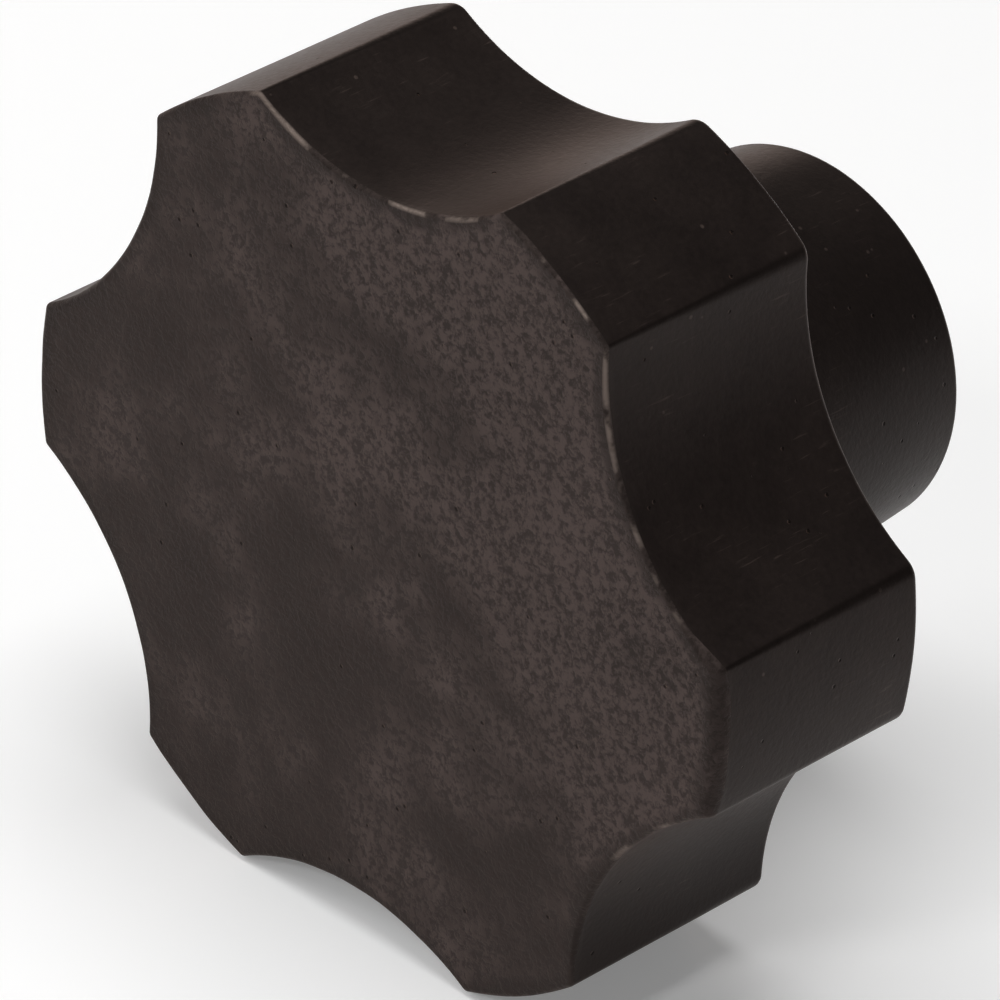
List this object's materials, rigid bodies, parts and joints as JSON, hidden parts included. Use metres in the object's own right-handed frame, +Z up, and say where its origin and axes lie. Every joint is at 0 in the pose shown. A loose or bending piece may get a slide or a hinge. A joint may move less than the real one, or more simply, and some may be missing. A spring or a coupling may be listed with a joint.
{
  "type": "star knob",
  "caption": "Cast-iron star knob with a flat scalloped head, a tapered hub and a blind tapped hole in the hub's end.",
  "frame": {"origin": "the point on the floor under the middle of the knob, which lies on two neighbouring lobes", "axes": "+Y along the knob's axis, from the flat face to the hub's end and out of the tapped hole; +Z up, between two lobes"},
  "size_m": [0.05, 0.034, 0.0468],
  "materials": {
    "cast_iron": "black oxide over a fine blasted casting skin"
  },
  "bodies": {
    "root": {"star_knob": "cast_iron"}
  },
  "joints": []
}
